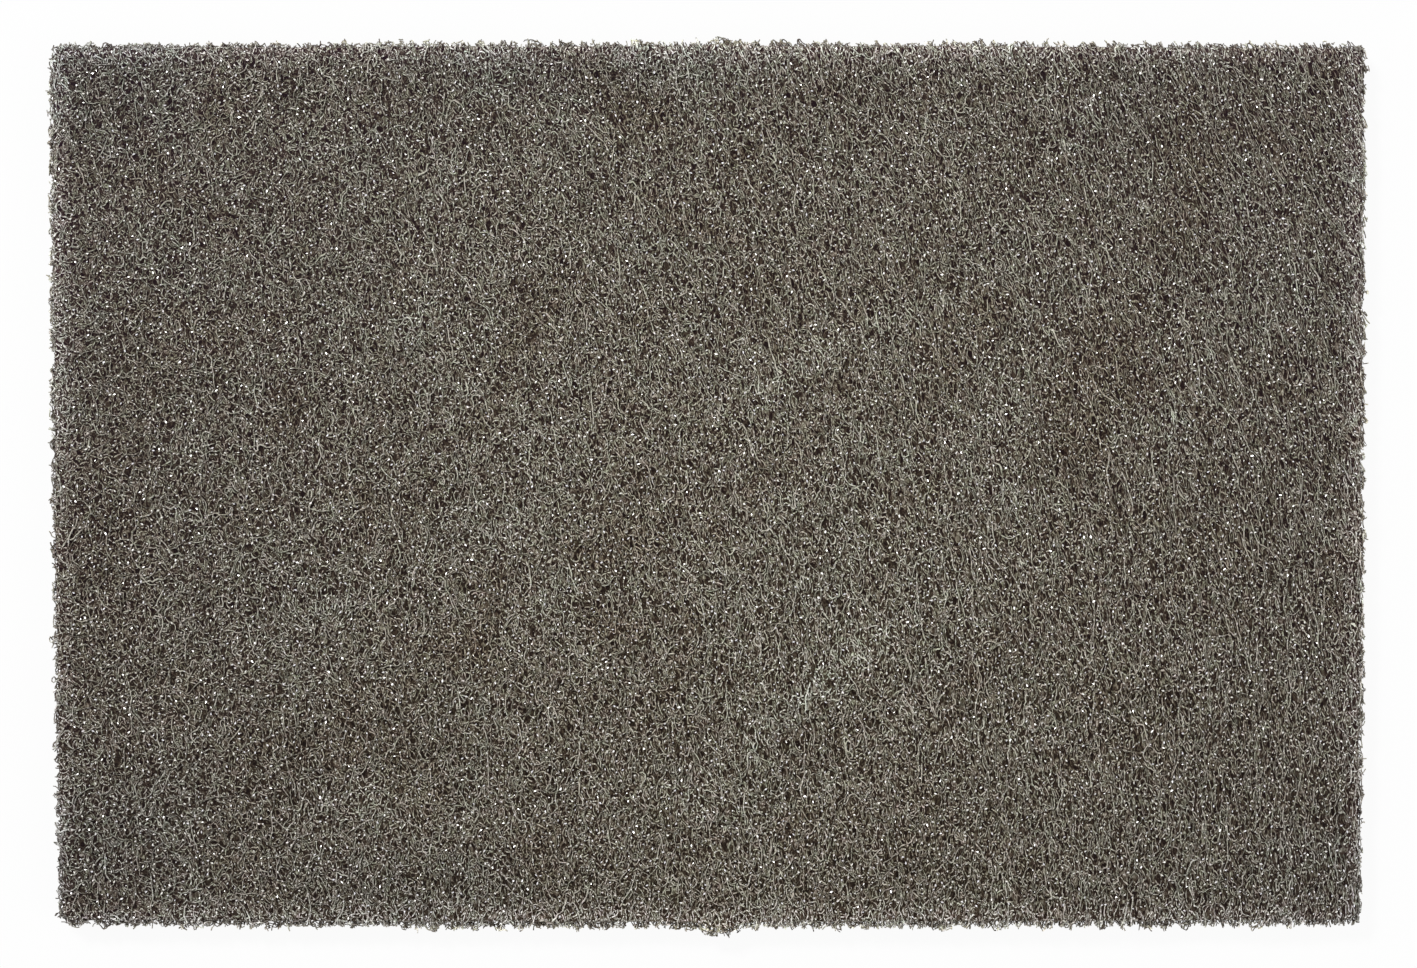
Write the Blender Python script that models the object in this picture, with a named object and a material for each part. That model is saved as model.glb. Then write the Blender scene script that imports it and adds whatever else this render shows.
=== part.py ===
"""Non-woven abrasive hand pad: one die-cut slab of lofty, resin-bonded fibre web.

The pad lies flat on one of its two working faces. X runs along its length, Y across its width and
Z up, in metres. The origin is under the middle of the pad, on the surface that it lies on.
"""

import math

import bmesh
import bpy
from mathutils import Vector, noise

# Cut size of the pad, and the thickness of the web from one working face to the other
PAD_LENGTH = 0.229
PAD_WIDTH = 0.154
PAD_THICKNESS = 0.008

# What the die leaves: rounded corners, a rim crushed round, and edges a little out of true
CORNER_RADIUS = 0.0026
RIM_ROUND = 0.0018
LEFT_CUT_SLANT = 0.0016
RIGHT_CUT_SLANT = 0.0008
LONG_EDGE_BOW = 0.0004

# Fibres torn out of the cut edge leave it wavy, layer by layer
RAGGED_DEPTH = 0.0006
RAGGED_SPACING = 0.006

# A tuft of web stands out near the middle of each long edge, where two strokes of the die met
TUFT_OFFSET = 0.0024
TUFT_HALF_WIDTH = 0.0045
FRONT_TUFT_REACH = 0.0015
BACK_TUFT_REACH = 0.0006

# Thin places in the web sink into both faces; the rest of each face is level. They follow a noise
# that has its own slice for each face: they start at one level of it and reach full depth at another
HOLLOW_DEPTH = 0.0011
HOLLOW_SPACING = 0.014
HOLLOW_ONSET = 0.04
HOLLOW_FULL = 0.40
UPPER_FACE = 18.5
LOWER_FACE = 21.5

# The mesh: one cell over the faces, closer rows across the rim, and layers up the cut edge
WEB_CELL = 0.005
RIM_ROWS = (0.35, 0.70)
EDGE_LAYERS = 3
SAME_LEVEL = 1e-6

WEB_COLOUR = (0.125, 0.112, 0.091, 1.0)
WEB_ROUGHNESS = 0.8


def clear_scene():
    for obj in list(bpy.data.objects):
        bpy.data.objects.remove(obj)


def web_material():
    """Dull olive grey resin over nylon fibre."""
    material = bpy.data.materials.new("abrasive_web")
    material.use_nodes = True
    shader = material.node_tree.nodes["Principled BSDF"]
    shader.inputs["Base Color"].default_value = WEB_COLOUR
    shader.inputs["Roughness"].default_value = WEB_ROUGHNESS
    shader.inputs["Metallic"].default_value = 0.0
    return material


def rows_along(length):
    """Where the mesh is cut along one side: even cells, and closer rows in the corner zones."""
    inner = length / 2 - CORNER_RADIUS
    cells = max(1, round(2 * inner / WEB_CELL))
    middle = [-inner + 2 * inner * i / cells for i in range(cells + 1)]
    rim = [inner + CORNER_RADIUS * share for share in RIM_ROWS]
    return [-row for row in reversed(rim)] + middle + rim


def cut_rows(mesh, axis, rows):
    """Cuts the whole mesh by planes square to the axis, so that each row has its own vertices."""
    for row in rows:
        everything = mesh.verts[:] + mesh.edges[:] + mesh.faces[:]
        bmesh.ops.bisect_plane(mesh, geom=everything, plane_co=axis * row, plane_no=axis)


def rounded_corner(x, y):
    """Moves a point of a square corner onto the corner's arcs, and leaves every other point alone."""
    across = abs(x) - (PAD_LENGTH / 2 - CORNER_RADIUS)
    along = abs(y) - (PAD_WIDTH / 2 - CORNER_RADIUS)
    if across <= 0 or along <= 0:
        return x, y
    share = 1 - max(across, along) / math.hypot(across, along)
    return x - math.copysign(across * share, x), y - math.copysign(along * share, y)


def rim_drop(inset):
    """How far the crushed rim lies under the face, this far in from the cut edge."""
    radius = min(RIM_ROUND, 0.45 * PAD_THICKNESS)
    if inset >= radius:
        return 0.0
    return radius - math.sqrt(radius**2 - (radius - inset) ** 2)


def hollow(x, y, inset, face):
    """Depth of the thin places under a working face, which fade out towards the rim."""
    level = noise.noise(Vector((x / HOLLOW_SPACING, y / HOLLOW_SPACING, face)))
    share = (level - HOLLOW_ONSET) / (HOLLOW_FULL - HOLLOW_ONSET)
    rim_fade = min(1.0, inset / HOLLOW_SPACING)
    return HOLLOW_DEPTH * rim_fade * min(1.0, max(0.0, share))


def tuft(x, reach):
    """How far a tuft stands out of its long edge."""
    away = min(1.0, abs(x - TUFT_OFFSET) / TUFT_HALF_WIDTH)
    return reach * (1 + math.cos(math.pi * away)) / 2


def cut_edge_offset(x, y):
    """How far the cut edge stands out of the true rectangle: at this side, and at this long edge."""
    towards_front = 0.5 - y / PAD_WIDTH
    slant = LEFT_CUT_SLANT if x < 0 else RIGHT_CUT_SLANT
    reach = FRONT_TUFT_REACH if y < 0 else BACK_TUFT_REACH
    bow = LONG_EDGE_BOW * (2 * x / PAD_LENGTH) ** 2
    return -slant * towards_front**2, tuft(x, reach) - bow


def torn_depth(x, y, z, inset):
    """How far the torn edge lies inside the line of the die, which fades out over the faces."""
    level = noise.noise(Vector((x, y, z)) / RAGGED_SPACING)
    edge_share = max(0.0, 1 - inset / CORNER_RADIUS)
    return RAGGED_DEPTH * edge_share * (0.5 + 0.5 * level)


def shape_vertex(co):
    """Takes a point of the plain slab to its place on the pad."""
    x, y, z = co
    inset = max(0.0, min(PAD_LENGTH / 2 - abs(x), PAD_WIDTH / 2 - abs(y)))
    if z > PAD_THICKNESS - SAME_LEVEL:
        z -= rim_drop(inset) + hollow(x, y, inset, UPPER_FACE)
    elif z < SAME_LEVEL:
        z += rim_drop(inset) + hollow(x, y, inset, LOWER_FACE)
    x, y = rounded_corner(x, y)
    side_offset, long_edge_offset = cut_edge_offset(x, y)
    torn = torn_depth(x, y, z, inset)
    x *= 1 + 2 * (side_offset - torn) / PAD_LENGTH
    y *= 1 + 2 * (long_edge_offset - torn) / PAD_WIDTH
    return Vector((x, y, z))


def build_web():
    """The slab of web: a box cut into cells, then every vertex is moved to its place."""
    mesh = bmesh.new()
    bmesh.ops.create_cube(mesh, size=1.0)
    bmesh.ops.scale(mesh, vec=(PAD_LENGTH, PAD_WIDTH, PAD_THICKNESS), verts=mesh.verts)
    bmesh.ops.translate(mesh, vec=(0, 0, PAD_THICKNESS / 2), verts=mesh.verts)
    cut_rows(mesh, Vector((1, 0, 0)), rows_along(PAD_LENGTH))
    cut_rows(mesh, Vector((0, 1, 0)), rows_along(PAD_WIDTH))
    layers = [PAD_THICKNESS * i / EDGE_LAYERS for i in range(1, EDGE_LAYERS)]
    cut_rows(mesh, Vector((0, 0, 1)), layers)
    for vertex in mesh.verts:
        vertex.co = shape_vertex(vertex.co)
    bmesh.ops.recalc_face_normals(mesh, faces=mesh.faces)
    data = bpy.data.meshes.new("abrasive_web")
    mesh.to_mesh(data)
    mesh.free()
    data.shade_smooth()
    data.materials.append(web_material())
    return bpy.data.objects.new("abrasive_web", data)


def main():
    clear_scene()
    collection = bpy.data.collections.new("abrasive_pad")
    bpy.context.scene.collection.children.link(collection)
    collection.objects.link(build_web())


main()
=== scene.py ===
"""Looks of a non-woven abrasive hand pad: crimped fibres under resin and grit, over a dark open core.

The pad lies flat and is seen squarely from above. Everything is in metres, in the frame of the solid:
X along the pad, Y across it, Z up through its thickness.
"""

import math

import bmesh
import bpy
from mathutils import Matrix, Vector


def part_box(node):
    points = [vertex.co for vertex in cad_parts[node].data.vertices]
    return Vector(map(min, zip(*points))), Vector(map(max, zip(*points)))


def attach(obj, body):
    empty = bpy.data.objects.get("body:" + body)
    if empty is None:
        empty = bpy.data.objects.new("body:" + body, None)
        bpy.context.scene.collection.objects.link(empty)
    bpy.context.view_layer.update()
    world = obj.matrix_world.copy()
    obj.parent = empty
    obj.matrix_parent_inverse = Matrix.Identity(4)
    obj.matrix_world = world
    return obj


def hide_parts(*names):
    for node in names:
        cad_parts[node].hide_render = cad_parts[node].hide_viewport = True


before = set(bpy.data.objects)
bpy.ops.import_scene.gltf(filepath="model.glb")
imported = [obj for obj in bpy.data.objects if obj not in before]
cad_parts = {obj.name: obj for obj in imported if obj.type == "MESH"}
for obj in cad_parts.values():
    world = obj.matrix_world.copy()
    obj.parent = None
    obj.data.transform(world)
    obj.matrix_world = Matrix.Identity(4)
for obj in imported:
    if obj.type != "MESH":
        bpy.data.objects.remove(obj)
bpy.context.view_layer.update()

# The solid that carries the looks
PAD = "abrasive_web"
LOW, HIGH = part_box(PAD)
LENGTH = HIGH.x - LOW.x
WIDTH = HIGH.y - LOW.y
THICKNESS = HIGH.z - LOW.z
CENTRE = (LOW + HIGH) / 2

# The photograph's frame, and where the pad lies in it
PHOTO_WIDTH = 1417
PHOTO_HEIGHT = 968
PAD_PIXELS = 1315
PAD_CENTRE = (707.5, 486.5)
METRES_PER_PIXEL = LENGTH / PAD_PIXELS

# Lens of the camera in millimetres, and the two lamps: place, size and power in watts
LENS = 85.0
SENSOR = 36.0
KEY_LAMP = ((-0.45, 0.55, 0.95), 0.20, 8.0)
FILL_LAMP = ((0.75, -0.35, 0.80), 0.60, 2.5)

# The even light from all round, and the floor: its size, and how much of its white doesn't wait for light
SKY_LEVEL = 0.40
FLOOR_SIZE = 3.0
FLOOR_OWN_WHITE = 0.93

# Fibre of the web: its radius with the resin on it, one step along its path, and how evenly the fibres are
# spread
FIBRE_RADIUS = 0.000122
FIBRE_STEP = 0.00062
SEED_SPREAD = 0.84

# How many places are tried for each fibre that is wanted: those too near another are dropped
SEED_TRIES = 4.0

# A fibre's course: how far the noises of its crimp and of its rise move on at each step and from fibre to
# fibre, the least crimp a fibre has, how far from its middle its ends start to dive, as a share of its
# length, and the fewest points that still make a fibre
CRIMP_PACE = (0.47, 7.31)
RISE_PACE = (0.45, 3.77)
LEAST_CRIMP = 0.2
DIVE_FROM = 0.34
FEWEST_POINTS = 3.0

# How often resin gathers on a fibre, how much it adds there, and the thinnest and thickest fibre
RESIN_FINENESS = 900.0
RESIN_GAIN = 0.35
WIDTH_SHARES = (0.8, 1.15)

# The cut edge is torn in and out by this much, this often
TORN_REACH = 0.00055
TORN_SPACING = 0.0013

# At the front edge the fringe is longer by this much, away from the corners
FRONT_FRINGE = 0.0005
CORNER_ZONE = 0.004

# The core: the size of its cells, how far it lies under the solid's surface and how much further its pits go
# down, their spacing and how much of its tone a pit keeps, and how much deeper all is at the cut edge
CORE_CELL = 0.0012
CORE_INSET = 0.0005
PIT_DEPTH = 0.0007
PIT_SPACING = 0.0024
PIT_SHADE = 0.45
SIDE_SHARE = 1.4

# Where along the pad the web is drawn out across it, by how much, and its lean at the top right
DRAWN_FROM = -0.16
DRAWN_TO = 0.115
DRAWN_SHARE = 0.43
DRAWN_LEAN = 0.5

# The web is a net: how far apart its holes lie, how far they push a fibre, how much darker they are, and how
# open a place is that takes no grain
HOLE_SPACING = 0.0024
HOLE_PUSH = 0.00025
HOLE_SHADE = 0.16
HOLE_EDGE = 0.2

# The rim of the solid starts this share of the thickness under each face
RIM_SHARE = 0.22

# A surface is part of the cut edge where its normal rises or falls less than this
EDGE_NORMAL = 0.6

# A fibre as deep as this shows its darkest tone, darkened by painted shade and dust
FULL_DEPTH = 0.0013

# A fibre's tone: what lying near the surface adds, deeper fibres being darker with painted shade and dust,
# and what its own chance tone adds at most
SHALLOW_TONE = 0.56
OWN_TONE = 0.36

# The drawn fibres under the modelled ones: half their width, the tone of the gaps between them, dark as
# painted shade, and their depths, deepest first, each with its kind, tone, spacing, and share that is in
# view, deeper tones darker as painted shade
DRAWN_HALF_WIDTH = 0.0001
GAP_TONE = 0.0
STRAND_DEPTHS = (
    ("bent", 0.14, 0.00060, 0.90),
    ("looped", 0.26, 0.00070, 0.80),
    ("bent", 0.40, 0.00080, 0.85),
    ("looped", 0.60, 0.00085, 0.70),
    ("bent", 0.72, 0.00090, 0.75),
    ("bent", 0.90, 0.00110, 0.65),
)

# The tone that is left beside a drawn fibre under its painted shadow, the mottling of drawn and of modelled
# fibres, how much of it the palest fibres keep, and the painted shade on a modelled fibre's sides and the
# painted highlight on its top
CONTACT_SHADE = 0.22
BEAD_FINENESS = 2600.0
BEAD_CONTRAST = 0.5
FIBRE_MOTTLE = 0.34
PALE_MOTTLE = 0.55
SIDE_SHADE = 0.31
CREST_LIGHT = 0.14

# Drawn fibres: the sharpest bend, how far apart their depths are read, and for the loops where their two
# noises are read and how steep the first one is
SHARPEST_BEND = 2.2
SLICE_STEP = (0.013, 0.017, 0.0)
LOOP_LIFT = 0.47
LOOP_ELSEWHERE = (0.0041, 0.0037, 0.0)
LOOP_SLOPE = 0.9

# Roughness of the resin on a fibre, of a bright grain in it, of a loose grain and of the core, and how
# strongly the core reflects
RESIN_ROUGHNESS = 0.42
GLINT_ROUGHNESS = 0.2
GRAIN_ROUGHNESS = 0.3
CORE_ROUGHNESS = 0.7
CORE_SPECULAR = 0.10

# Grit in the resin, on the fibres and on the core: the size of its grains, and the share that is bright,
# partly painted glint
FIBRE_GRIT = {"Grain_Size": 0.00034, "Bright_Share": 0.085}
CORE_GRIT = {"Grain_Size": 0.0003, "Bright_Share": 0.06}

# Bumps on the fibres and on the core: how high they are, and how strongly they show
FIBRE_BUMP = (0.00006, 0.6)
CORE_BUMP = (0.0003, 0.6)

# How finely a grain is clouded, and how far at most
CLOUDING_FINENESS = 6000.0
CLOUDING_SHARE = 0.3

# Grains: how strongly they bend light, their tilt, and their length, width and height for their size
GRAIN_IOR = 2.4
GRAIN_TILT = 0.42
GRAIN_FORM = (1.2, 0.62, 1.0)
GRAIN_HEIGHT = 1.2

# Slow changes over the pad: the middle of its painted pool of light in pixels across and down, how fast that
# fades across the pad (2 would be as fast as along it), and the spacing of the clouds and casts
LIGHT_POOL_CENTRE = (790, 550)
LIGHT_POOL_FADE = 1.25
CLOUD_SPACING = 0.015
CAST_SPACING = 0.0016

# How far the back edge and the ends take part in the change of tint towards them
BACK_SHARE = 0.75
END_SHARE = 0.35

# The crushed rim, made lighter with painted light: its width, how fast it and its fringe fade inwards, how
# far the tufts stand out of the long edges, and how far back the middle of those edges is
RIM_BAND = 0.007
RIM_POWER = 2.5
FRINGE_POWER = 8.0
TUFT_REACH = 0.00065
EDGES_SHIFT = 0.00025

# How finely the edges of streaks and patches fray, and how far
FRAY_FINENESS = 260.0
FRAY_REACH = 0.009

# What each piece gives its tree. Fibres lie in three layers on the upper face, on the cut edge and below
FACE_FIBRES = {
    "Step": FIBRE_STEP,
    "Radius": FIBRE_RADIUS,
    "Crimp": 1.6,
    "Level Wave": 0.06,
}
UPPER_FIBRES = {
    **FACE_FIBRES,
    "Density": 100000.0,
    "Lowest Normal": 0.5,
    "Steps": 12,
    "Lowest Level": 0.95,
    "Highest Level": 1.0,
    "End Dive": 0.16,
}
UNDERSIDE_FIBRES = {
    **FACE_FIBRES,
    "Density": 20000.0,
    "Highest Normal": -0.5,
    "Steps": 17,
    "Lowest Level": 0.0,
    "Highest Level": 0.12,
    "End Dive": -0.16,
    "Seed": 60,
}
EDGE_FIBRES = {
    "Density": 1640000.0,
    "Lowest Normal": -EDGE_NORMAL,
    "Highest Normal": EDGE_NORMAL,
    "Steps": 10,
    "Step": 0.00045,
    "Radius": 0.00011,
    "Crimp": 1.3,
    "Lowest Level": 0.0,
    "Highest Level": 1.0,
    "Level Wave": 0.08,
    "Cut Fuzz": 0.00025,
    "Deepest": 0.0017,
    "Seed": 50,
}
GRAINS = {
    "Density": 1250000.0,
    "Spacing": 0.00068,
    "Greatest Depth": 0.0025,
    "Smallest": 0.000125,
    "Largest": 0.00026,
    "Seed": 80,
}

# Ovals where the web is paler, browner or cooler than the rest: pixel across, pixel down, half length,
# half width, angle in degrees and strength
PALE_STREAKS = (
    (838, 667, 0.0130, 0.0038, 36, 0.95),
    (884, 636, 0.0060, 0.0040, 30, 0.7),
    (765, 730, 0.0140, 0.0028, 38, 0.35),
    (678, 793, 0.0080, 0.0040, 12, 0.65),
    (803, 366, 0.0080, 0.0034, 34, 0.8),
    (880, 322, 0.0100, 0.0022, 28, 0.3),
    (930, 311, 0.0065, 0.0022, 4, 0.45),
    (425, 315, 0.0055, 0.0034, 60, 0.8),
    (440, 190, 0.0095, 0.0026, 58, 0.7),
    (533, 175, 0.0060, 0.0022, 75, 0.2),
    (520, 525, 0.0070, 0.0032, 20, 0.5),
    (345, 606, 0.0085, 0.0034, 22, 0.6),
    (692, 545, 0.0120, 0.0022, 84, 0.45),
    (745, 600, 0.0060, 0.0040, 10, 0.15),
    (385, 795, 0.0085, 0.0045, 10, 0.65),
    (1170, 415, 0.0095, 0.0022, 80, 0.65),
    (1080, 130, 0.0070, 0.0028, 80, 0.5),
    (985, 885, 0.0050, 0.0024, 85, 0.4),
)
BROWN_PATCHES = (
    (1165, 262, 0.0135, 0.0095, 70, 0.1),
    (150, 365, 0.0120, 0.0085, 80, 0.85),
    (95, 560, 0.0280, 0.0125, 88, 1.0),
    (263, 747, 0.0135, 0.0065, 20, 0.45),
    (346, 706, 0.0050, 0.0045, 0, 0.5),
    (457, 645, 0.0080, 0.0055, 30, 1.0),
    (422, 505, 0.0065, 0.0045, 0, 0.5),
    (515, 297, 0.0080, 0.0050, 20, 0.15),
    (625, 540, 0.0090, 0.0045, 40, 0.35),
    (941, 400, 0.0080, 0.0050, 30, 0.4),
    (935, 205, 0.0070, 0.0050, 0, 0.4),
    (1135, 706, 0.0110, 0.0080, 0, 1.0),
    (1266, 706, 0.0070, 0.0060, 0, 0.5),
    (690, 850, 0.0060, 0.0040, 0, 0.5),
)
COOL_PATCHES = (
    (105, 850, 0.0220, 0.0130, 20, 0.7),
    (90, 90, 0.0200, 0.0160, 0, 1.0),
    (1345, 860, 0.0160, 0.0120, 0, 0.7),
    (420, 880, 0.0300, 0.0070, 0, 0.5),
    (560, 70, 0.0400, 0.0070, 0, 0.8),
    (1130, 110, 0.0160, 0.0100, 70, 0.5),
)


def linear(red, green, blue):
    """An sRGB colour, 0 to 255 a part, as the linear colour that a socket takes."""
    parts = [part / 255 for part in (red, green, blue)]
    return tuple(p / 12.92 if p <= 0.04045 else ((p + 0.055) / 1.055) ** 2.4 for p in parts) + (1.0,)


# Colours of the web, from its gaps to its brightest fibres; the tone that picks them carries the painted
# shade of depth, gaps and fibre sides, and the painted highlight on fibre tops
WEB_COLOURS = ((0.0, (17, 7, 2)), (0.3, (68, 58, 46)), (0.6, (124, 119, 105)), (1.0, (207, 204, 190)))
FIBRE_COLOURS = ((0.0, (41, 29, 19)), (0.35, (83, 76, 64)), (0.7, (135, 131, 118)), (1.0, (219, 216, 203)))
GRIT_AND_GLINT_WHITE = linear(236, 233, 230)
CLOUDED_GRAIN = linear(170, 166, 160)
# Colours of the loose grains, from grey to white; the whitest stand in part for painted glints
GRAIN_AND_GLINT_COLOURS = (
    (0.0, (150, 145, 134)),
    (0.3, (190, 186, 174)),
    (0.5, (237, 233, 222)),
    (0.7, (255, 252, 244)),
    (0.88, (248, 246, 254)),
    (1.0, (255, 243, 238)),
)

# What the slow changes multiply a colour by, as linear red, green and blue
# A painted pool of light over the middle, and painted shade towards the ends and corners
LIGHT_POOL_TINT = (1.045, 1.015, 0.982, 1.0)
LIGHT_FALLOFF_TINT = (0.785, 0.785, 0.825, 1.0)
BROWN_CLOUD = (0.85, 0.805, 0.765, 1.0)
BROWN_PATCH = (0.865, 0.83, 0.795, 1.0)
COOL_PATCH = (0.96, 1.01, 1.06, 1.0)
PALE_CLOUD = (1.07, 1.11, 1.125, 1.0)
CRUSHED_RIM_PAINTED_LIGHT = (3.3, 3.45, 4.0, 1.0)
FRINGE_TINT = (1.0, 0.99, 0.78, 1.0)
PALE_STREAK = (1.42, 1.50, 1.56, 1.0)
GREEN_CAST = (0.94, 1.06, 0.95, 1.0)
PURPLE_CAST = (1.06, 0.94, 1.05, 1.0)

# Towards the back and the ends, what multiplies a colour and what is then added: fibres there are greener
# and gaps more purple
BACK_TINT = (0.975, 1.0, 0.95, 1.0)
BACK_VEIL = (0.0034, 0.0, 0.0046, 1.0)


def at_pixel(across, down):
    """The place on the pad that the photograph shows at this pixel."""
    x = (across - PAD_CENTRE[0]) * METRES_PER_PIXEL
    y = (PAD_CENTRE[1] - down) * METRES_PER_PIXEL
    return x, y


def feed(tree, socket, value):
    """Links a socket to another node's output, or sets it to a plain value."""
    if isinstance(value, bpy.types.NodeSocket):
        tree.links.new(value, socket)
    elif value is not None:
        socket.default_value = value


def add(tree, kind, settings=(), **inputs):
    """Adds a node. An input is named as its socket is, with _ for a space."""
    node = tree.nodes.new(kind)
    for name, value in dict(settings).items():
        setattr(node, name, value)
    for name, value in inputs.items():
        wanted = name.replace("_", " ")
        socket = next(s for s in node.inputs if s.enabled and s.name == wanted)
        feed(tree, socket, value)
    return node


def maths(tree, operation, *values):
    """A value worked out by one Math node."""
    node = add(tree, "ShaderNodeMath", {"operation": operation})
    for socket, value in zip(node.inputs, values):
        feed(tree, socket, value)
    return node.outputs[0]


def times(tree, *values):
    """The product of all these values."""
    product = values[0]
    for value in values[1:]:
        product = maths(tree, "MULTIPLY", product, value)
    return product


def plus(tree, first, second):
    return maths(tree, "ADD", first, second)


def minus(tree, first, second):
    return maths(tree, "SUBTRACT", first, second)


def over(tree, first, second):
    return maths(tree, "DIVIDE", first, second)


def vector_maths(tree, operation, *values):
    """What one Vector Math node works out: a vector, or a value for a length or a dot product."""
    node = add(tree, "ShaderNodeVectorMath", {"operation": operation})
    for socket, value in zip(node.inputs, values):
        feed(tree, socket, value)
    return next(socket for socket in node.outputs if socket.enabled)


def scaled(tree, vector, factor):
    node = add(tree, "ShaderNodeVectorMath", {"operation": "SCALE"}, Scale=factor)
    feed(tree, node.inputs[0], vector)
    return node.outputs["Vector"]


def vector_of(tree, x=0.0, y=0.0, z=0.0):
    return add(tree, "ShaderNodeCombineXYZ", X=x, Y=y, Z=z).outputs["Vector"]


def ranged(tree, value, low, high, to_low=0.0, to_high=1.0, smooth=False):
    """Takes low to to_low and high to to_high, and clamps what lies beyond them."""
    kind = "SMOOTHSTEP" if smooth else "LINEAR"
    node = add(
        tree,
        "ShaderNodeMapRange",
        {"interpolation_type": kind},
        Value=value,
        From_Min=low,
        From_Max=high,
        To_Min=to_low,
        To_Max=to_high,
    )
    return node.outputs["Result"]


def noise(tree, place, scale, detail=0.0, dimensions="3D", distortion=0.0, roughness=0.5):
    node = add(
        tree,
        "ShaderNodeTexNoise",
        {"noise_dimensions": dimensions},
        Vector=place,
        Scale=scale,
        Detail=detail,
        Distortion=distortion,
        Roughness=roughness,
    )
    return node.outputs[0]


def mixed_colour(tree, share, first, second, blend="MIX"):
    settings = {"data_type": "RGBA", "blend_type": blend}
    node = add(tree, "ShaderNodeMix", settings, Factor=share, A=first, B=second)
    return next(s for s in node.outputs if s.enabled)


def tinted(tree, share, colour, tint):
    """A colour multiplied by a tint, as far as the share goes."""
    return mixed_colour(tree, share, colour, tint, "MULTIPLY")


def new_group(name, kind, inputs, outputs):
    """A node group with named sockets. Returns it, what its inputs give, and what its outputs take."""
    tree = bpy.data.node_groups.new(name, kind)
    if kind == "GeometryNodeTree":
        tree.is_modifier = True
    for label, socket_type, default in inputs:
        socket = tree.interface.new_socket(label, in_out="INPUT", socket_type=socket_type)
        if default is not None:
            socket.default_value = default
    for label, socket_type in outputs:
        tree.interface.new_socket(label, in_out="OUTPUT", socket_type=socket_type)
    return tree, tree.nodes.new("NodeGroupInput").outputs, tree.nodes.new("NodeGroupOutput").inputs


def use_group(tree, group, **inputs):
    """Places a shader group in a material, with this material's own values."""
    return add(tree, "ShaderNodeGroup", {"node_tree": group}, **inputs).outputs


FLOAT = "NodeSocketFloat"
INTEGER = "NodeSocketInt"
COLOUR = "NodeSocketColor"
VECTOR = "NodeSocketVector"
GEOMETRY = "NodeSocketGeometry"
MATERIAL = "NodeSocketMaterial"
COLLECTION = "NodeSocketCollection"


def random_value(tree, low, high, item, seed, draw):
    """A value drawn for each item. Each draw of one tree has a number of its own."""
    own_seed = plus(tree, seed, draw)
    node = add(tree, "FunctionNodeRandomValue", Min=low, Max=high, ID=item, Seed=own_seed)
    return node.outputs[1]


def parts_of(tree, vector):
    return add(tree, "ShaderNodeSeparateXYZ", Vector=vector).outputs


def height_of(tree, vector):
    return parts_of(tree, vector)["Z"]


def running_sum(tree, value, group, kind="FLOAT"):
    node = add(tree, "GeometryNodeAccumulateField", {"data_type": kind}, Value=value, Group_ID=group)
    return node.outputs


def surface_height(tree, solid, x, y, from_above):
    """Where a vertical line through x, y meets the solid first, and whether it does."""
    away = 0.1 if from_above else -0.1
    node = add(
        tree,
        "GeometryNodeRaycast",
        Target_Geometry=solid,
        Source_Position=vector_of(tree, x, y, away),
        Ray_Direction=(0.0, 0.0, -away),
        Ray_Length=1.0,
    )
    return height_of(tree, node.outputs["Hit Position"]), node.outputs["Is Hit"]


def course(tree, step, fibre, seed, pace):
    """Where a noise is read for this step of this fibre."""
    to_step, to_fibre = pace
    return vector_of(tree, times(tree, step, to_step), times(tree, fibre, to_fibre), seed)


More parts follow.
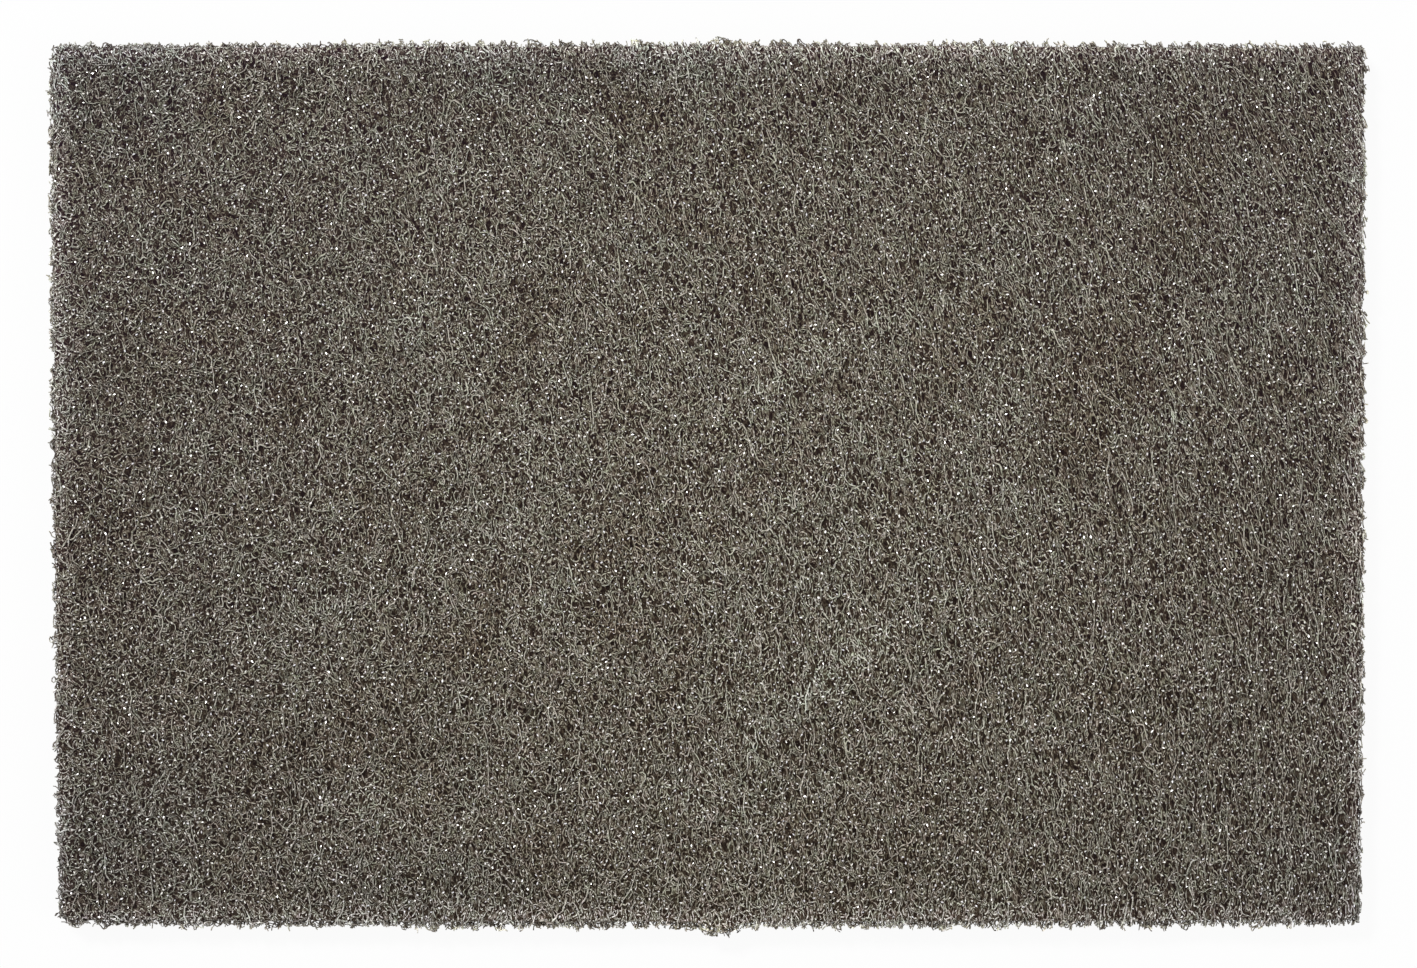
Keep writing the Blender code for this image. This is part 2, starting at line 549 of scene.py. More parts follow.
def fibre_tree():
    """Geometry nodes that lay crimped fibres through a solid, cut them as the die does, and skin them."""
    inputs = [
        ("Solid", GEOMETRY, None),
        ("Density", FLOAT, 1000.0),
        ("Lowest Normal", FLOAT, -1.1),
        ("Highest Normal", FLOAT, 1.1),
        ("Steps", INTEGER, 20),
        ("Step", FLOAT, 0.0005),
        ("Radius", FLOAT, 0.0001),
        ("Crimp", FLOAT, 0.7),
        ("Lowest Level", FLOAT, 0.0),
        ("Highest Level", FLOAT, 1.0),
        ("Level Wave", FLOAT, 0.1),
        ("End Dive", FLOAT, 0.0),
        ("Cut Fuzz", FLOAT, 0.0003),
        ("Deepest", FLOAT, 1.0),
        ("Seed", INTEGER, 0),
        ("Material", MATERIAL, None),
    ]
    tree, given, result = new_group("crimped_fibres", "GeometryNodeTree", inputs, [("Fibres", GEOMETRY)])
    solid = given["Solid"]
    seed = given["Seed"]

    # One seed point for each fibre, on the faces that look the right way
    normal = add(tree, "GeometryNodeInputNormal").outputs[0]
    facing = height_of(tree, normal)
    above = maths(tree, "GREATER_THAN", facing, given["Lowest Normal"])
    below = maths(tree, "LESS_THAN", facing, given["Highest Normal"])
    chosen = times(tree, above, below)
    spacing = over(tree, SEED_SPREAD, maths(tree, "SQRT", given["Density"]))
    seeds = add(
        tree,
        "GeometryNodeDistributePointsOnFaces",
        {"distribute_method": "POISSON"},
        Mesh=solid,
        Selection=chosen,
        Distance_Min=spacing,
        Density_Max=times(tree, given["Density"], SEED_TRIES),
        Seed=seed,
    )
    copies = add(
        tree,
        "GeometryNodeDuplicateElements",
        {"domain": "POINT"},
        Geometry=seeds.outputs["Points"],
        Amount=given["Steps"],
    )
    step = copies.outputs["Duplicate Index"]
    index = add(tree, "GeometryNodeInputIndex").outputs[0]
    fibre = maths(tree, "FLOOR", over(tree, plus(tree, index, 0.5), given["Steps"]))

    # The path: crimps turn the heading one way and then the other, and the steps add up
    along = course(tree, step, fibre, seed, CRIMP_PACE)
    swing = ranged(tree, noise(tree, along, 1.0, 1.0), 0.36, 0.64, -1.0, 1.0)
    stiff = random_value(tree, 0.0, 1.0, fibre, seed, 1.0)
    limp = ranged(tree, stiff, 0.02, 0.6, LEAST_CRIMP, 1.0)
    turn = times(tree, swing, limp, given["Crimp"])
    start = random_value(tree, 0.0, math.tau, fibre, seed, 2.0)
    heading = plus(tree, start, running_sum(tree, turn, fibre)["Leading"])
    east = times(tree, maths(tree, "COSINE", heading), given["Step"])
    north = times(tree, maths(tree, "SINE", heading), given["Step"])

    # The web is drawn out across the pad, most at the right-hand end, where its upper part leans
    place = add(tree, "GeometryNodeInputPosition").outputs[0]
    placed = parts_of(tree, place)
    share = ranged(tree, placed["X"], DRAWN_FROM, DRAWN_TO)
    drawn = times(tree, share, DRAWN_SHARE)
    east = times(tree, east, minus(tree, 1.0, drawn))
    north = times(tree, north, plus(tree, 1.0, drawn))
    lean = times(tree, share, ranged(tree, placed["Y"], LOW.y, HIGH.y, 0.0, DRAWN_LEAN))
    east = minus(tree, east, times(tree, north, lean))
    walked = running_sum(tree, vector_of(tree, east, north), fibre, "FLOAT_VECTOR")
    middle = scaled(tree, walked["Total"], 0.5)
    plan = vector_maths(tree, "ADD", place, vector_maths(tree, "SUBTRACT", walked["Trailing"], middle))
    push = scaled(tree, net_of_holes(tree, drawn_out(tree, plan))["push"], inner_share(tree, plan))
    plan = vector_maths(tree, "ADD", plan, push)
    flat = parts_of(tree, plan)
    x, y = flat["X"], flat["Y"]

    # Its height: a level between the two faces, which rises and falls along the fibre
    roof, roofed = surface_height(tree, solid, x, y, True)
    base, based = surface_height(tree, solid, x, y, False)
    rim = THICKNESS * RIM_SHARE
    roof = mixed_value(tree, roofed, HIGH.z - rim, roof)
    base = mixed_value(tree, based, LOW.z + rim, base)
    own = random_value(tree, given["Lowest Level"], given["Highest Level"], fibre, seed, 3.0)
    rise = course(tree, step, fibre, seed, RISE_PACE)
    wave = ranged(tree, noise(tree, rise, 1.0, 1.0), 0.3, 0.7, -1.0, 1.0)
    level = plus(tree, own, times(tree, wave, given["Level Wave"]))
    level = maths(tree, "MINIMUM", maths(tree, "MAXIMUM", level, 0.0), 1.0)
    last = minus(tree, given["Steps"], 1.0)
    from_middle = maths(tree, "ABSOLUTE", minus(tree, over(tree, step, last), 0.5))
    dive = ranged(tree, from_middle, DIVE_FROM, 0.5, 0.0, given["End Dive"], smooth=True)
    level = minus(tree, level, dive)
    floor = plus(tree, base, given["Radius"])
    room = minus(tree, minus(tree, roof, given["Radius"]), floor)
    height = plus(tree, floor, times(tree, level, room))

    # Where the die cut it: a fibre ends a little inside or outside the edge of the solid
    halfway = vector_of(tree, x, y, (LOW.z + HIGH.z) / 2)
    nearest = add(
        tree,
        "GeometryNodeProximity",
        {"target_element": "FACES"},
        Geometry=solid,
        Sample_Position=halfway,
    )
    distance = nearest.outputs["Distance"]
    outside = mixed_value(tree, roofed, distance, times(tree, distance, -1.0))
    low_cut = times(tree, given["Cut Fuzz"], -1.0)
    cut = random_value(tree, low_cut, given["Cut Fuzz"], fibre, seed, 4.0)
    ragged = noise(tree, plan, 1 / TORN_SPACING, 1.0, dimensions="2D")
    torn = ranged(tree, ragged, 0.3, 0.7, -TORN_REACH, TORN_REACH)
    front = ranged(tree, y, -WIDTH / 2, -WIDTH / 2 + CORNER_ZONE, FRONT_FRINGE, 0.0)
    reach = plus(tree, plus(tree, cut, torn), front)
    inside_cut = maths(tree, "LESS_THAN", outside, reach)
    near_cut = maths(tree, "GREATER_THAN", outside, times(tree, given["Deepest"], -1.0))
    kept = times(tree, inside_cut, near_cut)
    before = minus(tree, index, 1.0)
    kept_before = add(tree, "GeometryNodeFieldAtIndex", Value=kept, Index=before).outputs[0]
    first = maths(tree, "LESS_THAN", step, 0.5)
    broken = maths(tree, "MAXIMUM", first, minus(tree, 1.0, kept_before))
    run = running_sum(tree, times(tree, kept, broken), 0)["Leading"]

    # What the materials read: how deep the fibre lies, and a tone and a thickness of its own
    under_roof = minus(tree, roof, height)
    over_base = minus(tree, height, base)
    buried = maths(tree, "MINIMUM", under_roof, over_base)
    tone = random_value(tree, 0.0, 1.0, fibre, seed, 5.0)
    points = copies.outputs["Geometry"]
    facts = (("web_depth", buried), ("fibre_tone", tone), ("run", run), ("kept", kept))
    for name, value in facts:
        points = store(tree, points, name, value)
    points = moved_to(tree, points, vector_of(tree, x, y, height))
    lost = maths(tree, "LESS_THAN", read_attribute(tree, "kept"), 0.5)
    points = without(tree, points, lost, "POINT")
    curves = add(
        tree, "GeometryNodePointsToCurves", Points=points, Curve_Group_ID=read_attribute(tree, "run")
    ).outputs["Curves"]
    count = add(tree, "GeometryNodeSplineLength").outputs["Point Count"]
    few = maths(tree, "LESS_THAN", count, FEWEST_POINTS)
    curves = without(tree, curves, few, "CURVE")

    # The skin: three sides, thicker where resin has gathered
    spot = add(tree, "GeometryNodeInputPosition").outputs[0]
    resin = ranged(tree, noise(tree, spot, RESIN_FINENESS, 0.0), 0.5, 0.72, 0.0, RESIN_GAIN)
    own_width = ranged(tree, read_attribute(tree, "fibre_tone"), 0.0, 1.0, *WIDTH_SHARES)
    radius = times(tree, plus(tree, own_width, resin), given["Radius"])
    curves = add(tree, "GeometryNodeSetCurveRadius", Curve=curves, Radius=radius).outputs["Curve"]
    section = add(tree, "GeometryNodeCurvePrimitiveCircle", Resolution=3, Radius=1.0).outputs["Curve"]
    skin = add(
        tree,
        "GeometryNodeCurveToMesh",
        Curve=curves,
        Profile_Curve=section,
        Scale=add(tree, "GeometryNodeInputRadius").outputs[0],
        Fill_Caps=True,
    ).outputs["Mesh"]
    return put_out(tree, given, result["Fibres"], skin)


def net_of_holes(tree, place):
    """The net at this place: how far its hole pushes a fibre, and how much of the hole is open here."""
    flat = vector_maths(tree, "MULTIPLY", place, (1.0, 1.0, 0.0))
    cells = {"voronoi_dimensions": "2D", "feature": "F1"}
    edges = {"voronoi_dimensions": "2D", "feature": "DISTANCE_TO_EDGE"}
    cell = add(tree, "ShaderNodeTexVoronoi", cells, Vector=flat, Scale=1 / HOLE_SPACING).outputs
    border = add(tree, "ShaderNodeTexVoronoi", edges, Vector=flat, Scale=1 / HOLE_SPACING)
    chance = parts_of(tree, cell["Color"])["X"]
    size = ranged(tree, chance, 0.2, 1.0)
    away = vector_maths(tree, "NORMALIZE", vector_maths(tree, "SUBTRACT", flat, cell["Position"]))
    reach = ranged(tree, border.outputs["Distance"], 0.0, 0.3, 0.0, HOLE_PUSH, smooth=True)
    reach = times(tree, reach, size)
    open_share = ranged(tree, cell["Distance"], 0.06, 0.26, 1.0, 0.0, smooth=True)
    return {"push": scaled(tree, away, reach), "open": times(tree, open_share, size)}


def mixed_value(tree, share, first, second):
    node = add(tree, "ShaderNodeMix", {"data_type": "FLOAT"}, Factor=share, A=first, B=second)
    return next(s for s in node.outputs if s.enabled)


def store(tree, geometry, name, value):
    """Keeps a value on each point, under a name that a material or a later node can read."""
    settings = {"data_type": "FLOAT", "domain": "POINT"}
    node = add(tree, "GeometryNodeStoreNamedAttribute", settings, Geometry=geometry, Name=name, Value=value)
    return node.outputs["Geometry"]


def read_attribute(tree, name):
    node = add(tree, "GeometryNodeInputNamedAttribute", {"data_type": "FLOAT"}, Name=name)
    return node.outputs["Attribute"]


def without(tree, geometry, lost, domain):
    settings = {"domain": domain}
    node = add(tree, "GeometryNodeDeleteGeometry", settings, Geometry=geometry, Selection=lost)
    return node.outputs["Geometry"]


def moved_to(tree, geometry, position):
    node = add(tree, "GeometryNodeSetPosition", Geometry=geometry, Position=position)
    return node.outputs["Geometry"]


def put_out(tree, given, socket, geometry):
    """The end of a geometry tree: real geometry, with its material."""
    real = add(tree, "GeometryNodeRealizeInstances", Geometry=geometry).outputs["Geometry"]
    painted = add(tree, "GeometryNodeSetMaterial", Geometry=real, Material=given["Material"])
    feed(tree, socket, painted.outputs["Geometry"])
    return tree


def solid_copy(name):
    """An object with the solid's own shape, its loose triangles joined."""
    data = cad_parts[PAD].data.copy()
    data.materials.clear()
    mesh = bmesh.new()
    mesh.from_mesh(data)
    bmesh.ops.remove_doubles(mesh, verts=mesh.verts, dist=1e-6)
    mesh.to_mesh(data)
    mesh.free()
    thing = bpy.data.objects.new(name, data)
    bpy.context.scene.collection.objects.link(thing)
    return thing


def grit_tree():
    """Geometry nodes that drop grains from above onto the web, outside the holes of its net."""
    inputs = [
        ("Web", COLLECTION, None),
        ("Density", FLOAT, 100000.0),
        ("Greatest Depth", FLOAT, 0.001),
        ("Spacing", FLOAT, 0.0005),
        ("Smallest", FLOAT, 0.0001),
        ("Largest", FLOAT, 0.0002),
        ("Seed", INTEGER, 0),
        ("Material", MATERIAL, None),
    ]
    tree, given, result = new_group("resin_held_grains", "GeometryNodeTree", inputs, [("Grains", GEOMETRY)])
    web = add(tree, "GeometryNodeCollectionInfo", Collection=given["Web"]).outputs[0]
    web = add(tree, "GeometryNodeRealizeInstances", Geometry=web).outputs["Geometry"]
    sheet = add(tree, "GeometryNodeMeshGrid", Size_X=LENGTH, Size_Y=WIDTH, Vertices_X=2, Vertices_Y=2)
    above = (CENTRE.x, CENTRE.y, HIGH.z + THICKNESS)
    sheet = add(tree, "GeometryNodeTransform", Geometry=sheet.outputs["Mesh"], Translation=above)
    places = add(
        tree,
        "GeometryNodeDistributePointsOnFaces",
        {"distribute_method": "POISSON"},
        Mesh=sheet.outputs["Geometry"],
        Distance_Min=given["Spacing"],
        Density_Max=given["Density"],
        Seed=given["Seed"],
    )
    drop = add(
        tree,
        "GeometryNodeRaycast",
        Target_Geometry=web,
        Ray_Direction=(0.0, 0.0, -1.0),
        Ray_Length=plus(tree, given["Greatest Depth"], THICKNESS),
    ).outputs
    place = add(tree, "GeometryNodeInputPosition").outputs[0]
    hole = net_of_holes(tree, drawn_out(tree, place))["open"]
    caught = times(tree, drop["Is Hit"], maths(tree, "LESS_THAN", hole, HOLE_EDGE))
    points = store(tree, places.outputs["Points"], "landed", caught)
    points = moved_to(tree, points, drop["Hit Position"])
    lost = maths(tree, "LESS_THAN", read_attribute(tree, "landed"), 0.5)
    points = without(tree, points, lost, "POINT")
    index = add(tree, "GeometryNodeInputIndex").outputs[0]
    tone = random_value(tree, 0.0, 1.0, index, given["Seed"], 1.0)
    points = store(tree, points, "grain_tone", tone)
    size = random_value(tree, given["Smallest"], given["Largest"], index, given["Seed"], 2.0)
    turns = []
    for number, reach in enumerate((GRAIN_TILT, GRAIN_TILT, math.pi)):
        turns.append(random_value(tree, -reach, reach, index, given["Seed"], 3.0 + number))
    stone = add(
        tree,
        "GeometryNodeMeshCone",
        Vertices=4,
        Radius_Top=1.0,
        Radius_Bottom=0.0,
        Depth=GRAIN_HEIGHT,
    )
    grain = add(
        tree,
        "GeometryNodeSetShadeSmooth",
        Geometry=stone.outputs["Mesh"],
        Shade_Smooth=False,
    ).outputs["Geometry"]
    placed = add(
        tree,
        "GeometryNodeInstanceOnPoints",
        Points=points,
        Instance=grain,
        Rotation=vector_of(tree, *turns),
        Scale=scaled(tree, GRAIN_FORM, size),
    )
    return put_out(tree, given, result["Grains"], placed.outputs["Instances"])


def set_inputs(modifier, values):
    """Sets a modifier's inputs by the names of its group's sockets."""
    for socket in modifier.node_group.interface.items_tree:
        if socket.in_out == "INPUT" and socket.name in values:
            modifier[socket.identifier] = values[socket.name]


def settled(thing, name, material):
    """A plain mesh object, with the modifiers of thing worked into it. thing itself is removed."""
    bpy.context.view_layer.update()
    graph = bpy.context.evaluated_depsgraph_get()
    data = bpy.data.meshes.new_from_object(thing.evaluated_get(graph))
    data.name = name
    data.materials.clear()
    data.materials.append(material)
    data.polygons.foreach_set("material_index", [0] * len(data.polygons))
    bpy.data.objects.remove(thing)
    piece = bpy.data.objects.new(name, data)
    bpy.context.scene.collection.objects.link(piece)
    return piece


def fibres(name, tree, material, values):
    """Crimped fibres laid through the solid, as these values of their tree say."""
    source = solid_copy(name + "_source")
    modifier = source.modifiers.new("fibres", "NODES")
    modifier.node_group = tree
    set_inputs(modifier, {"Material": material, **values})
    return settled(source, name, material)


def grains(name, tree, carriers, material, values):
    """Grains on finished pieces of the web."""
    web = bpy.data.collections.new(name + "_carriers")
    for carrier in carriers:
        web.objects.link(carrier)
    source = bpy.data.objects.new(name + "_source", bpy.data.meshes.new(name + "_source"))
    bpy.context.scene.collection.objects.link(source)
    modifier = source.modifiers.new("grains", "NODES")
    modifier.node_group = tree
    set_inputs(modifier, {"Web": web, "Material": material, **values})
    piece = settled(source, name, material)
    bpy.data.collections.remove(web)
    return piece


def core(name, material):
    """The dense inside of the web: the solid's own form, drawn in and pitted."""
    source = solid_copy(name + "_source")
    remesh = source.modifiers.new("even_cells", "REMESH")
    remesh.mode = "VOXEL"
    remesh.voxel_size = CORE_CELL
    inputs = [
        ("Mesh", GEOMETRY, None),
        ("Inset", FLOAT, 0.0005),
        ("Pit Depth", FLOAT, 0.0005),
        ("Material", MATERIAL, None),
    ]
    tree, given, result = new_group("pitted_core", "GeometryNodeTree", inputs, [("Mesh", GEOMETRY)])
    place = add(tree, "GeometryNodeInputPosition").outputs[0]
    normal = add(tree, "GeometryNodeInputNormal").outputs[0]
    level = maths(tree, "ABSOLUTE", height_of(tree, normal))
    share = ranged(tree, level, 0.2, 0.8, SIDE_SHARE, 1.0)
    pits = ranged(tree, noise(tree, place, 1 / PIT_SPACING, 2.0), 0.70, 0.82, 0.0, 1.0)
    depth = plus(tree, given["Inset"], times(tree, pits, given["Pit Depth"]))
    depth = times(tree, depth, share)
    inward = scaled(tree, normal, times(tree, depth, -1.0))
    stored = store(tree, given["Mesh"], "pit", pits)
    moved = add(tree, "GeometryNodeSetPosition", Geometry=stored, Offset=inward)
    smooth = add(tree, "GeometryNodeSetShadeSmooth", Geometry=moved.outputs["Geometry"])
    put_out(tree, given, result["Mesh"], smooth.outputs["Geometry"])
    modifier = source.modifiers.new("pits", "NODES")
    modifier.node_group = tree
    set_inputs(modifier, {"Inset": CORE_INSET, "Pit Depth": PIT_DEPTH, "Material": material})
    return settled(source, name, material)


def plain_material(name):
    material = bpy.data.materials.new(name)
    material.use_nodes = True
    return material, material.node_tree, material.node_tree.nodes["Principled BSDF"]


def turned(tree, vector, angle):
    """A vector turned about Z."""
    settings = {"rotation_type": "Z_AXIS"}
    return add(tree, "ShaderNodeVectorRotate", settings, Vector=vector, Angle=angle).outputs["Vector"]


def carried(tree, name):
    """A value that the mesh carries."""
    return add(tree, "ShaderNodeAttribute", {"attribute_name": name}).outputs["Fac"]


def drawn_strand(tree, result, share, present):
    """Puts out a strand's body, its rounded top for painted shading across it, and how clear of its painted
    shadow the web beside it is.
    """
    body = ranged(tree, share, 0.7, 1.2, 1.0, 0.0, smooth=True)
    feed(tree, result["Strand"], times(tree, body, present))
    round_top = maths(tree, "SQRT", ranged(tree, share, 0.0, 1.0, 1.0, 0.0))
    feed(tree, result["Crest"], times(tree, round_top, present))
    near = ranged(tree, share, 1.0, 2.8, 1.0, 0.0, smooth=True)
    feed(tree, result["Clearance"], minus(tree, 1.0, times(tree, near, present)))


STRAND_INPUTS = [
    ("Vector", VECTOR, None),
    ("Slice", FLOAT, 0.0),
    ("Spacing", FLOAT, 0.001),
    ("Half Width", FLOAT, 0.0001),
    ("Share", FLOAT, 0.8),
]
STRAND_OUTPUTS = [("Strand", FLOAT), ("Crest", FLOAT), ("Clearance", FLOAT)]


def bent_strands():
    """Shader group: short bent lengths of fibre, one across each cell, at any angle."""
    tree, given, result = new_group("bent_strands", "ShaderNodeTree", STRAND_INPUTS, STRAND_OUTPUTS)
    place = vector_maths(tree, "ADD", given["Vector"], scaled(tree, SLICE_STEP, given["Slice"]))
    fineness = over(tree, 1.0, given["Spacing"])
    cells = add(tree, "ShaderNodeTexVoronoi", {"voronoi_dimensions": "2D"}, Vector=place, Scale=fineness)
    draw = add(tree, "ShaderNodeSeparateColor", Color=cells.outputs["Color"]).outputs
    from_middle = vector_maths(tree, "SUBTRACT", place, cells.outputs["Position"])
    parts = parts_of(tree, turned(tree, from_middle, times(tree, draw["Red"], math.pi)))
    sharpest = times(tree, fineness, SHARPEST_BEND)
    bend = times(tree, minus(tree, draw["Green"], 0.5), sharpest)
    bow = times(tree, parts["X"], parts["X"], bend)
    away = maths(tree, "ABSOLUTE", plus(tree, parts["Y"], bow))
    present = maths(tree, "LESS_THAN", draw["Blue"], given["Share"])
    drawn_strand(tree, result, over(tree, away, given["Half Width"]), present)
    return tree


def looped_strands():
    """Shader group: curled fibre, drawn as the lines where a noise crosses its middle value."""
    tree, given, result = new_group("looped_strands", "ShaderNodeTree", STRAND_INPUTS, STRAND_OUTPUTS)
    fineness = over(tree, 1.0, given["Spacing"])
    place = turned(tree, given["Vector"], given["Slice"])
    lift = times(tree, given["Spacing"], LOOP_LIFT)
    place = vector_maths(tree, "ADD", place, vector_of(tree, z=lift))
    value = noise(tree, place, fineness)
    away = maths(tree, "ABSOLUTE", minus(tree, value, 0.5))
    away = over(tree, times(tree, away, given["Spacing"]), LOOP_SLOPE)
    elsewhere = vector_maths(tree, "ADD", place, LOOP_ELSEWHERE)
    wander = noise(tree, elsewhere, times(tree, fineness, 1.1))
    edge = ranged(tree, given["Share"], 0.0, 1.0, 0.7, 0.3)
    present = ranged(tree, minus(tree, wander, edge), -0.04, 0.04)
    drawn_strand(tree, result, over(tree, away, given["Half Width"]), present)
    return tree


def buried_fibres(bent, looped):
    """Shader group: the tone of fibres at several depths, deeper ones darker as painted shade, over gaps
    dark with painted shade.
    """
    inputs = [("Vector", VECTOR, None), ("Half Width", FLOAT, 0.0001)]
    tree, given, result = new_group("buried_fibres", "ShaderNodeTree", inputs, [("Tone", FLOAT)])
    own = noise(tree, given["Vector"], BEAD_FINENESS, 1.0, dimensions="2D")
    own = ranged(tree, own, 0.3, 0.7, 1.0 - BEAD_CONTRAST, 1.0 + BEAD_CONTRAST)
    tone = GAP_TONE
    for number, (kind, level, spacing, share) in enumerate(STRAND_DEPTHS):
        strands = use_group(
            tree,
            bent if kind == "bent" else looped,
            Vector=given["Vector"],
            Slice=3.0 * number + 1.0,
            Spacing=spacing,
            Half_Width=given["Half Width"],
            Share=share,
        )
        # Each drawn fibre lays a painted shadow beside it on the tone beneath, and painted shading rounds
        # its top
        clear = ranged(tree, strands["Clearance"], 0.0, 1.0, CONTACT_SHADE, 1.0)
        shaded = times(tree, tone, clear)
        rounded = ranged(tree, strands["Crest"], 0.0, 1.0, 0.6, 1.0)
        lit = times(tree, own, level, rounded)
        tone = mixed_value(tree, strands["Strand"], shaded, lit)
    feed(tree, result["Tone"], tone)
    return tree


def resin_grit():
    """Shader group: grains held in the resin. Gives the bright ones, partly painted glints, and how all
    roughen the surface.
    """
    inputs = [("Vector", VECTOR, None), ("Grain Size", FLOAT, 0.0003), ("Bright Share", FLOAT, 0.1)]
    outputs = [("Bright", FLOAT), ("Height", FLOAT)]
    tree, given, result = new_group("resin_grit", "ShaderNodeTree", inputs, outputs)
    fineness = over(tree, 1.0, given["Grain Size"])
    cells = add(tree, "ShaderNodeTexVoronoi", Vector=given["Vector"], Scale=fineness)
    draw = add(tree, "ShaderNodeSeparateColor", Color=cells.outputs["Color"]).outputs["Red"]
    chosen = maths(tree, "LESS_THAN", draw, given["Bright Share"])
    spot = ranged(tree, cells.outputs["Distance"], 0.30, 0.48, 1.0, 0.0, smooth=True)
    feed(tree, result["Bright"], times(tree, chosen, spot))
    feed(tree, result["Height"], ranged(tree, cells.outputs["Distance"], 0.0, 0.6, 1.0, 0.0))
    return tree


def web_drift():
    """Shader group: what changes over the pad: painted light and shade, cast, clouds, crushed rim with
    painted light, streaks and patches.
    """
    inputs = [("Vector", VECTOR, None), ("Color", COLOUR, None)]
    tree, given, result = new_group("web_drift", "ShaderNodeTree", inputs, [("Color", COLOUR)])
    centred = vector_maths(tree, "SUBTRACT", given["Vector"], tuple(CENTRE))
    plan = vector_maths(tree, "MULTIPLY", centred, (1.0, 1.0, 0.0))

    # Painted light, paler and warmer in the middle; painted shade, darker and cooler, at the ends and
    # corners
    x, y = at_pixel(*LIGHT_POOL_CENTRE)
    from_light_pool = vector_maths(tree, "SUBTRACT", plan, (x, y, 0.0))
    reach = vector_maths(tree, "MULTIPLY", from_light_pool, (2 / LENGTH, LIGHT_POOL_FADE / WIDTH, 0.0))
    ends = ranged(tree, vector_maths(tree, "LENGTH", reach), 0.15, 1.25, smooth=True)
    colour = tinted(tree, 1.0, given["Color"], LIGHT_POOL_TINT)
    colour = tinted(tree, ends, colour, LIGHT_FALLOFF_TINT)

    # Fibres turn greener and gaps more purple towards the back and the ends
    flat = parts_of(tree, plan)
    back = ranged(tree, flat["Y"], -WIDTH / 4, WIDTH / 2, 0.0, BACK_SHARE)
    far = times(tree, flat["X"], 2 / LENGTH)
    back = plus(tree, back, times(tree, far, far, END_SHARE))
    colour = tinted(tree, back, colour, BACK_TINT)
    colour = mixed_colour(tree, back, colour, BACK_VEIL, "ADD")

    # Brown clouds, drawn out into wisps
    wisps = noise(tree, given["Vector"], 1 / CLOUD_SPACING, 1.0, distortion=1.2)
    colour = tinted(tree, ranged(tree, wisps, 0.46, 0.28), colour, BROWN_CLOUD)
    colour = tinted(tree, ranged(tree, wisps, 0.54, 0.72), colour, PALE_CLOUD)

    # A faint green or purple cast, which changes from tuft to tuft
    cast = ranged(tree, noise(tree, given["Vector"], 1 / CAST_SPACING, 4.0, roughness=0.85), 0.3, 0.7)
    colour = tinted(tree, 1.0, colour, mixed_colour(tree, cast, PURPLE_CAST, GREEN_CAST))

    # The rim that the die crushed, made lighter with painted light, and the yellower fringe at its very
    # edge: both fade out on the tufts
    from_edges = vector_maths(tree, "SUBTRACT", plan, (0.0, EDGES_SHIFT, 0.0))
    sides = parts_of(tree, vector_maths(tree, "ABSOLUTE", from_edges))
    across = ranged(tree, sides["X"], LENGTH / 2 - RIM_BAND, LENGTH / 2)
    long_edge = WIDTH / 2 - TUFT_REACH
    along = ranged(tree, sides["Y"], long_edge - RIM_BAND, long_edge)
    on_tufts = ranged(tree, sides["Y"], long_edge, WIDTH / 2, 1.0, 0.5)
    outer = maths(tree, "MAXIMUM", across, times(tree, along, on_tufts))
    colour = tinted(tree, maths(tree, "POWER", outer, RIM_POWER), colour, CRUSHED_RIM_PAINTED_LIGHT)
    colour = tinted(tree, maths(tree, "POWER", outer, FRINGE_POWER), colour, FRINGE_TINT)

    # Pale streaks, brown patches and cool ones, frayed along their edges, in the upper part of the web
    fray = times(tree, minus(tree, noise(tree, plan, FRAY_FINENESS, 3.0), 0.5), FRAY_REACH)
    frayed = vector_maths(tree, "ADD", plan, vector_of(tree, fray, fray))
    upper = ranged(tree, height_of(tree, centred), -THICKNESS / 4, THICKNESS / 4)
    places = ((PALE_STREAKS, PALE_STREAK), (BROWN_PATCHES, BROWN_PATCH), (COOL_PATCHES, COOL_PATCH))
    for spots, tint in places:
        share = times(tree, spotted(tree, frayed, spots), upper)
        colour = tinted(tree, share, colour, tint)
    feed(tree, result["Color"], colour)
    return tree


def spotted(tree, place, spots):
    """How much of these ovals lies here: they fade out from their middles, and add up to 1 at most."""
    total = 0.0
    for across, down, long_half, short_half, angle, strength in spots:
        x, y = at_pixel(across, down)
        oval = add(
            tree,
            "ShaderNodeMapping",
            {"vector_type": "TEXTURE"},
            Vector=place,
            Location=(x, y, 0.0),
            Rotation=(0.0, 0.0, math.radians(angle)),
            Scale=(long_half, short_half, 1.0),
        ).outputs["Vector"]
        spread = vector_maths(tree, "LENGTH", oval)
        total = plus(tree, total, ranged(tree, spread, 0.2, 1.3, strength, 0.0, smooth=True))
    return maths(tree, "MINIMUM", total, 1.0)


def ramp(tree, value, stops):
    """A colour that runs through these stops, each a place from 0 to 1 and an sRGB colour."""
    node = add(tree, "ShaderNodeValToRGB", Fac=value)
    elements = node.color_ramp.elements
    while len(elements) < len(stops):
        elements.new(0.5)
    for element, (place, colour) in zip(elements, stops):
        element.position = place
        element.color = linear(*colour)
    return node.outputs["Color"]


def bumped(tree, shader, height, distance, strength):
    bump = add(tree, "ShaderNodeBump", Height=height, Distance=distance, Strength=strength)
    feed(tree, shader.inputs["Normal"], bump.outputs["Normal"])


